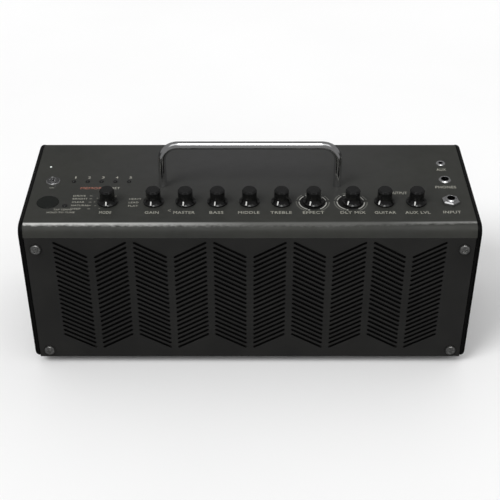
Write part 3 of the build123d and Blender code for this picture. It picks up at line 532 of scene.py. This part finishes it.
def dress_nodes():
    """Give every CAD node the finish of its material slot."""
    finishes = {
        "panel_metal": panel_paint(),
        "grille_metal": grille_paint(),
        "cheek_plastic": cheek_moulding(),
        "chrome": chrome_plate(),
        "screw_steel": screw_plating(),
        "knob_plastic": knob_moulding(),
        "shaft_metal": shaft_plating(),
        "button_plastic": button_moulding(),
        "smoked_lens": smoked_window(),
        "lamp_plastic": lamp_moulding(),
        "cloth": woven("grille_cloth_weave", (0.003, 0.003, 0.003), 0.6, 0.25, 0.9, sheen=0.01),
        "rubber": rubber_compound(),
        "case_plastic": case_moulding(),
        "pan_metal": pan_paint(),
        "board": circuit_board(),
        "component_metal": component_plating(),
        "socket_plastic": socket_moulding(),
        "baffle_board": fibre_board(),
        "basket_metal": basket_paint(),
        "magnet": ferrite(),
        "cone_paper": cone_pulp(),
        "brass": brass_stock(),
    }
    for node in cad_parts.values():
        for held in node.material_slots:
            held.material = finishes[held.material.name]
    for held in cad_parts["power_switch_body"].material_slots:
        held.material = switch_plating()


# ---------------------------------------------------------------- printed marks
INK_THICKNESS = 0.03
INK_SINK = 0.01
TEXT_SIZE = 1.0
CAP_HEIGHT = 0.73
LETTER_WEIGHT = 0.012
LETTER_SPACING = 1.08
LETTER_SMOOTHNESS = 3


def new_piece(name, work, finish, body):
    """Turn a bmesh drawn in mm into a named piece that rides on a body."""
    bmesh.ops.transform(work, matrix=Matrix.Scale(MM, 4), verts=work.verts)
    bmesh.ops.recalc_face_normals(work, faces=work.faces)
    mesh = bpy.data.meshes.new(name)
    work.to_mesh(mesh)
    work.free()
    mesh.materials.append(finish)
    piece = bpy.data.objects.new(name, mesh)
    bpy.context.scene.collection.objects.link(piece)
    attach(piece, body)
    return piece


def letter_mesh(text, thickness_share):
    """Mesh of a word at text size 1."""
    curve = bpy.data.curves.new("word", "FONT")
    curve.body = text
    curve.align_x = "CENTER"
    curve.align_y = "CENTER"
    curve.size = TEXT_SIZE
    curve.offset = LETTER_WEIGHT
    curve.space_character = LETTER_SPACING
    curve.resolution_u = LETTER_SMOOTHNESS
    curve.extrude = thickness_share / 2
    holder = bpy.data.objects.new("word", curve)
    bpy.context.scene.collection.objects.link(holder)
    mesh = bpy.data.meshes.new_from_object(holder)
    bpy.data.objects.remove(holder)
    bpy.data.curves.remove(curve)
    return mesh


def add_word(work, text, x, y, width, height, on=None):
    """Draw a word, width by height mm, centred on x, y of the panel or in the plane given by on."""
    mesh = letter_mesh(text, INK_THICKNESS)
    spans = [vertex.co.x for vertex in mesh.vertices]
    middle = (min(spans) + max(spans)) / 2
    stretch_x = width / (max(spans) - min(spans))
    stretch_y = height / CAP_HEIGHT
    sheet = on or Matrix.Translation((0, 0, PANEL_Z))
    lift = Matrix.Translation((x, y, INK_THICKNESS / 2 - INK_SINK))
    scale = Matrix.Diagonal((stretch_x, stretch_y, 1, 1))
    mesh.transform(sheet @ lift @ scale @ Matrix.Translation((-middle, 0, 0)))
    work.from_mesh(mesh)
    bpy.data.meshes.remove(mesh)


def add_band(work, x, y, inner, outer, start, stop, steps=24):
    """Draw part of a flat ring on the panel, from angle start to stop in degrees."""
    low = PANEL_Z - INK_SINK
    high = low + INK_THICKNESS
    sections = []
    for step in range(steps + 1):
        angle = math.radians(start + (stop - start) * step / steps)
        aim = Vector((math.cos(angle), math.sin(angle), 0))
        rim = []
        for radius, z in ((inner, low), (outer, low), (outer, high), (inner, high)):
            rim.append(work.verts.new(Vector((x, y, z)) + radius * aim))
        sections.append(rim)
    for before, after in zip(sections, sections[1:]):
        for side in range(4):
            other = (side + 1) % 4
            work.faces.new((before[side], before[other], after[other], after[side]))
    work.faces.new(sections[0])
    work.faces.new(reversed(sections[-1]))


def add_bar(work, x0, y0, x1, y1, width):
    """Draw a straight stroke on the panel."""
    along = Vector((x1 - x0, y1 - y0, 0))
    across = Vector((-along.y, along.x, 0)).normalized() * (width / 2)
    start = Vector((x0, y0, PANEL_Z - INK_SINK))
    outline = [start - across, start + along - across, start + along + across, start + across]
    low = [work.verts.new(point) for point in outline]
    up = Vector((0, 0, INK_THICKNESS))
    high = [work.verts.new(point + up) for point in outline]
    work.faces.new(reversed(low))
    work.faces.new(high)
    for side in range(4):
        other = (side + 1) % 4
        work.faces.new((low[side], low[other], high[other], high[side]))


LABEL_DROP = 14.6
LABEL_SHIFT = -0.5
SOCKET_SHIFT = -0.8
LETTER_PITCH = 2.95
LETTER_GAP = 0.8
LETTER_HEIGHT = 3.7
SMALL_HEIGHT = 2.2
MODE_WORD_WIDTH = 9.6
KNOB_WORDS = {
    "mode": "MODE",
    "gain": "GAIN",
    "master": "MASTER",
    "bass": "BASS",
    "middle": "MIDDLE",
    "treble": "TREBLE",
    "effect": "EFFECT",
    "delay": "DLY MIX",
    "guitar": "GUITAR",
    "aux": "AUX LVL",
}
SOCKET_WORDS = (
    ("input_jack", "INPUT", 14.1),
    ("phones_jack", "PHONES", 11.4),
    ("aux_jack", "AUX", 10.1),
)


def word_width(text):
    """Width in mm of a label at the panel's letter pitch."""
    return LETTER_PITCH * len(text) - LETTER_GAP


OUTPUT_RISE = 13.2
OUTPUT_WIDTH = 13.6
LINK_DROP = 11.6
LINK_SHIFT = -0.6
LINK_ARM = (2.2, 1.4)
LINK_STROKE = 0.45


def knob_legends(finish):
    """A word in front of every knob, the word shared by the last two, and a link mark."""
    work = bmesh.new()
    for name, text in KNOB_WORDS.items():
        spot = centre(name + "_shaft")
        width = MODE_WORD_WIDTH if name == "mode" else word_width(text)
        add_word(work, text, spot.x + LABEL_SHIFT, spot.y - LABEL_DROP, width, LETTER_HEIGHT)
    guitar = centre("guitar_shaft")
    aux = centre("aux_shaft")
    middle_x = (guitar.x + aux.x) / 2
    add_word(work, "OUTPUT", middle_x, guitar.y + OUTPUT_RISE, OUTPUT_WIDTH, LETTER_HEIGHT)
    gain = centre("gain_shaft")
    master = centre("master_shaft")
    link_x = (gain.x + master.x) / 2 + LINK_SHIFT
    link_y = gain.y - LINK_DROP
    across, up = LINK_ARM
    add_bar(work, link_x + across, link_y - up, link_x, link_y, LINK_STROKE)
    add_bar(work, link_x, link_y, link_x + across, link_y + up, LINK_STROKE)
    return new_piece("knob_legends", work, finish, "chassis")


def socket_legends(finish):
    """A word in front of each socket on the panel."""
    work = bmesh.new()
    for node, text, drop in SOCKET_WORDS:
        spot = centre(node)
        add_word(work, text, spot.x + SOCKET_SHIFT, spot.y - drop, word_width(text), LETTER_HEIGHT)
    return new_piece("socket_legends", work, finish, "chassis")


NUMBER_PLACE = (0.8, 6.0)
NUMBER_WIDTH = 2.2
NUMBER_HEIGHT = 3.3
MEMORY_DROP = 10.0
MEMORY_HEIGHT = 3.1
MEMORY_WORD = (-5.7, 20.6)
SET_WORD = (12.9, 6.2)
TAP_WORDS = (("TAP TEMPO", -1.0, -5.6, 14.5), ("HOLD TO TUNE", -2.0, -9.5, 22.0))
ON_WORD = (-9.4, 3.6, 1.6)


def button_legends(finish):
    """Numbers behind the memory buttons and small words round the left-hand controls."""
    work = bmesh.new()
    for number in range(1, MEMORY_BUTTONS + 1):
        spot = centre(f"memory_button_{number}")
        width = NUMBER_WIDTH / 2 if number == 1 else NUMBER_WIDTH
        x, y = spot.x + NUMBER_PLACE[0], spot.y + NUMBER_PLACE[1]
        add_word(work, str(number), x, y, width, NUMBER_HEIGHT)
    middle = centre("memory_button_3")
    shift, width = SET_WORD
    add_word(work, "SET", middle.x + shift, middle.y - MEMORY_DROP, width, MEMORY_HEIGHT)
    tap = centre("tap_button")
    for text, right, rise, width in TAP_WORDS:
        add_word(work, text, tap.x + right, tap.y + rise, width, SMALL_HEIGHT)
    switch = centre("power_switch_body")
    rise, width, height = ON_WORD
    add_word(work, "ON", switch.x, switch.y + rise, width, height)
    return new_piece("button_legends", work, finish, "chassis")


def memory_legend(finish):
    """The word under the memory buttons."""
    work = bmesh.new()
    middle = centre("memory_button_3")
    shift, width = MEMORY_WORD
    add_word(work, "MEMORY", middle.x + shift, middle.y - MEMORY_DROP, width, MEMORY_HEIGHT)
    return new_piece("memory_legend", work, finish, "chassis")


MODE_WORDS_LEFT = (
    ("DRIVE", 9.1),
    ("BRIGHT", 4.9),
    ("CLEAR", 0.2),
    ("NATURAL", -4.6),
    ("DEEP", -9.3),
)
MODE_WORDS_RIGHT = (("HEAVY", 4.6), ("LEAD", -0.4), ("FLAT", -5.2))
MODE_LIST_X = -28.6
MODE_RIGHT_X = 16.8
MODE_PITCH_LEFT = 2.0
MODE_PITCH_RIGHT = 1.95
MODE_LEADER = (-15.2, -13.0)
MODE_STROKE = 0.5
MODE_STOPS = 8
MODE_STEP = 30.0
MODE_TICK = (10.0, 11.2)
MODE_TICK_HALF = 1.4


def mode_legends(finish):
    """The two columns of mode names, the leader strokes and the ticks of the other modes."""
    work = bmesh.new()
    spot = centre("mode_shaft")
    for text, rise in MODE_WORDS_LEFT:
        width = MODE_PITCH_LEFT * len(text)
        left = spot.x + MODE_LIST_X
        add_word(work, text, left + width / 2, spot.y + rise, width, SMALL_HEIGHT)
        start, stop = MODE_LEADER
        add_bar(work, spot.x + start, spot.y + rise, spot.x + stop, spot.y + rise, MODE_STROKE)
    for text, rise in MODE_WORDS_RIGHT:
        width = MODE_PITCH_RIGHT * len(text)
        add_word(work, text, spot.x + MODE_RIGHT_X + width / 2, spot.y + rise, width, SMALL_HEIGHT)
    first = math.degrees(rib_turn("mode"))
    for click in range(1, MODE_STOPS):
        turn = first - click * MODE_STEP
        ends = (turn - MODE_TICK_HALF, turn + MODE_TICK_HALF)
        add_band(work, spot.x, spot.y, *MODE_TICK, *ends, steps=2)
    return new_piece("mode_legends", work, finish, "chassis")


RING_DISC = (5.0, 10.4)
RING_BRIGHT = (10.4, 11.3)
RING_OUTER = (12.7, 13.5)
RING_SHIFT = {"effect": -0.5, "delay": -1.3}
RING_ARCS = ((-60, 0), (15, 45), (55, 120), (130, 165), (175, 245))
RING_DASH_PITCH = 7.0
RING_DASH = 4.5
RING_DOT = (0.2, 0.8)
RING_DOT_TURN = 8.0


def effect_discs(finish):
    """Black discs on the panel under the two effect knobs."""
    work = bmesh.new()
    for name, shift in RING_SHIFT.items():
        spot = centre(name + "_shaft")
        add_band(work, spot.x + shift, spot.y, *RING_DISC, 0, 360, steps=60)
    return new_piece("effect_discs", work, finish, "chassis")


def effect_rings(finish):
    """Broken bright rings round the two effect knobs, open at the front, with an end dot."""
    work = bmesh.new()
    for name, shift in RING_SHIFT.items():
        spot = centre(name + "_shaft")
        for start, stop in RING_ARCS:
            add_band(work, spot.x + shift, spot.y, *RING_BRIGHT, start, stop)
        end = math.radians(RING_ARCS[-1][1] + RING_DOT_TURN)
        x = spot.x + shift + RING_BRIGHT[1] * math.cos(end)
        y = spot.y + RING_BRIGHT[1] * math.sin(end)
        add_band(work, x, y, *RING_DOT, 0, 360)
    return new_piece("effect_rings", work, finish, "chassis")


def effect_scales(finish):
    """Fine dashes outside the rings of the two effect knobs."""
    work = bmesh.new()
    for name, shift in RING_SHIFT.items():
        spot = centre(name + "_shaft")
        for start, stop in RING_ARCS:
            for dash in range(round((stop - start) / RING_DASH_PITCH)):
                turn = start + RING_DASH_PITCH * dash
                add_band(work, spot.x + shift, spot.y, *RING_OUTER, turn, turn + RING_DASH, steps=3)
    return new_piece("effect_scales", work, finish, "chassis")


# Pointer stripes that also stand for the highlight streak on each flare: partly painted highlight.
STRIPE_WIDTH = 1.05
STRIPE_THICKNESS = 0.04
STRIPE_SINK = 0.01
STRIPE_START = 0.02
STRIPE_STOP = 0.68


def knob_pointer(name, finish):
    """White line on the sloping face of a knob's pointer rib: a pointer and a painted highlight,
    turned and sized like the bright streak on the flare.
    """
    spot = centre(name + "_shaft")
    foot = Vector((RIB_OUTER_R, 0, PANEL_Z + KNOB_LIFT + RIB_KINK))
    head = Vector((RIB_INNER_R, 0, PANEL_Z + RIB_TOP))
    slope = head - foot
    outward = Vector((slope.z, 0, -slope.x)).normalized()
    work = bmesh.new()
    sheets = []
    for rise in (-STRIPE_SINK, STRIPE_THICKNESS):
        low = foot + STRIPE_START * slope + rise * outward
        high = foot + STRIPE_STOP * slope + rise * outward
        aside = Vector((0, STRIPE_WIDTH / 2, 0))
        corners_round = (low - aside, low + aside, high + aside, high - aside)
        sheets.append([work.verts.new(point) for point in corners_round])
    for sheet in sheets:
        work.faces.new(sheet)
    for first in range(4):
        other = (first + 1) % 4
        work.faces.new((sheets[0][first], sheets[0][other], sheets[1][other], sheets[1][first]))
    place = Matrix.Translation((spot.x, spot.y, 0)) @ Matrix.Rotation(rib_turn(name), 4, "Z")
    bmesh.ops.transform(work, matrix=place, verts=work.verts)
    return new_piece(name + "_pointer", work, finish, name + "_control")


REAR_RISE = 11.5
REAR_NARROWING = 0.8
REAR_HEIGHT = 2.6


def rear_legends(finish):
    """Words over the two rear sockets, read from behind."""
    work = bmesh.new()
    face = Matrix.Translation((0, REAR_Y, 0)) @ Matrix.Rotation(math.pi, 4, "Z")
    face = face @ Matrix.Rotation(math.pi / 2, 4, "X")
    for node, text in (("dc_jack", "DC IN"), ("usb_socket", "DATA")):
        spot = centre(node)
        width = word_width(text) * REAR_NARROWING
        add_word(work, text, -spot.x, spot.z + REAR_RISE, width, REAR_HEIGHT, on=face)
    return new_piece("rear_legends", work, finish, "chassis")


# ---------------------------------------------------------------- floor, light, camera
FLOOR_REACH = 6.0


def backdrop_floor():
    """A plain pale floor, with no edge in view."""
    work = bmesh.new()
    bmesh.ops.create_grid(work, x_segments=1, y_segments=1, size=FLOOR_REACH)
    mesh = bpy.data.meshes.new("studio_floor")
    work.to_mesh(mesh)
    work.free()
    floor = bpy.data.objects.new("studio_floor", mesh)
    bpy.context.scene.collection.objects.link(floor)
    floor.visible_glossy = False
    finish = Finish("floor_paper", (0.88, 0.88, 0.88), 0.9, specular=0.1)
    finish.mottle((0.9, 0.9, 0.9), 300)
    mesh.materials.append(finish.material)


SEEN_LIGHT = 0.97
HORIZON_LIGHT = 0.4
ZENITH_LIGHT = 0.97
MIRRORED_ROOM = 0.21
MIRRORED_FLOOR = 0.04
MIRRORED_CEILING = 0.8
MIRRORED_LAMP = 4.2
# Parts of a direction, as start and end of a soft edge.
CEILING_FRONT = (-0.70, -0.64)
CEILING_BACK = (-0.10, -0.16)
CEILING_RISE = (0.0, 0.2)
CEILING_SIDE = (0.65, 0.5)
LAMP_SIDE = (0.15, 0.10)
ROOM_HORIZON = (-0.06, 0.06)
ROOM_FRONT = (-0.40, -0.60)
SUN_PLACE = (-0.507, -0.396, 0.766)
SUN_WIDTH = 26.0
SUN_POWER = 1.4


def studio_sky():
    """Plain white to the camera, soft light to matt surfaces, a dim room with a lamp to mirrors."""
    world = bpy.data.worlds.new("studio")
    world.use_nodes = True
    bpy.context.scene.world = world
    tree = world.node_tree

    def add(kind, *links):
        """A new node, with sockets or values for its inputs by index or name."""
        node = tree.nodes.new(kind)
        for key, value in links:
            if isinstance(value, bpy.types.NodeSocket):
                tree.links.new(value, node.inputs[key])
            else:
                node.inputs[key].default_value = value
        return node

    def ramped(value, low, high):
        """0 to 1 while the value goes from low to high."""
        return add("ShaderNodeMapRange", (0, value), (1, low), (2, high)).outputs[0]

    def combined(operation, first, second):
        """One math node on two sockets or values."""
        node = add("ShaderNodeMath", (0, first), (1, second))
        node.operation = operation
        return node.outputs[0]

    direction = tree.nodes.new("ShaderNodeTexCoord").outputs["Generated"]
    x, y, z = add("ShaderNodeSeparateXYZ", (0, direction)).outputs
    sideways = combined("ABSOLUTE", x, 0.0)
    sky = add("ShaderNodeMapRange", (0, z), (3, HORIZON_LIGHT), (4, ZENITH_LIGHT)).outputs[0]
    strip = combined("MULTIPLY", ramped(y, *CEILING_FRONT), ramped(y, *CEILING_BACK))
    strip = combined("MULTIPLY", strip, ramped(z, *CEILING_RISE))
    ceiling = combined("MULTIPLY", strip, ramped(sideways, *CEILING_SIDE))
    lamp = combined("MULTIPLY", strip, ramped(sideways, *LAMP_SIDE))
    room = combined("MAXIMUM", ramped(z, *ROOM_HORIZON), ramped(y, *ROOM_FRONT))
    room = combined("MULTIPLY", room, MIRRORED_ROOM - MIRRORED_FLOOR)
    room = combined("ADD", room, MIRRORED_FLOOR)
    mirrored = combined("ADD", room, combined("MULTIPLY", ceiling, MIRRORED_CEILING))
    mirrored = combined("ADD", mirrored, combined("MULTIPLY", lamp, MIRRORED_LAMP))
    ray = tree.nodes.new("ShaderNodeLightPath").outputs
    lit = add("ShaderNodeMix", (0, ray["Is Glossy Ray"]), (2, sky), (3, mirrored)).outputs[0]
    seen = add("ShaderNodeMix", (0, ray["Is Camera Ray"]), (2, lit), (3, SEEN_LIGHT)).outputs[0]
    background = tree.nodes["Background"]
    background.inputs["Color"].default_value = (1, 1, 1, 1)
    tree.links.new(seen, background.inputs["Strength"])


def key_light():
    """A broad, distant light from the front left."""
    lamp = bpy.data.lights.new("key_light", "SUN")
    lamp.energy = SUN_POWER
    lamp.angle = math.radians(SUN_WIDTH)
    holder = bpy.data.objects.new("key_light", lamp)
    bpy.context.scene.collection.objects.link(holder)
    holder.rotation_euler = (-Vector(SUN_PLACE)).to_track_quat("-Z", "Y").to_euler()
    holder.visible_glossy = False


LENS_MM = 79.43
SENSOR_MM = 36.0
CAMERA_PLACE = (0.0, -0.7606, 0.63374)
CAMERA_DIP = 36.475


def camera():
    """The camera that sees the front and the top from above."""
    data = bpy.data.cameras.new("camera")
    data.lens = LENS_MM
    data.sensor_width = SENSOR_MM
    data.clip_start = 0.01
    holder = bpy.data.objects.new("camera", data)
    bpy.context.scene.collection.objects.link(holder)
    holder.location = CAMERA_PLACE
    holder.rotation_euler = (math.radians(90 - CAMERA_DIP), 0, 0)
    bpy.context.scene.camera = holder


def studio():
    """Floor, sky, key light and camera."""
    backdrop_floor()
    studio_sky()
    key_light()
    camera()
    bpy.context.scene.view_settings.view_transform = "Standard"


# ---------------------------------------------------------------- the whole scene
dress_nodes()
legend_ink = ink("legend_ink", (0.34, 0.335, 0.29))
warm_ink = ink("memory_ink", (0.36, 0.15, 0.11))
pointer_highlight_ink = ink("pointer_highlight_ink", (0.85, 0.85, 0.83))
dark_disc_colour = ink("dark_disc_colour", (0.006, 0.006, 0.006))
ring_ink = ink("ring_ink", (0.4, 0.4, 0.37))
scale_ink = ink("scale_ink", (0.2, 0.2, 0.18))
knob_legends(legend_ink)
socket_legends(legend_ink)
button_legends(legend_ink)
memory_legend(warm_ink)
mode_legends(legend_ink)
effect_discs(dark_disc_colour)
effect_rings(ring_ink)
effect_scales(scale_ink)
rear_legends(legend_ink)
for knob_name in KNOBS:
    knob_pointer(knob_name, pointer_highlight_ink)
studio()
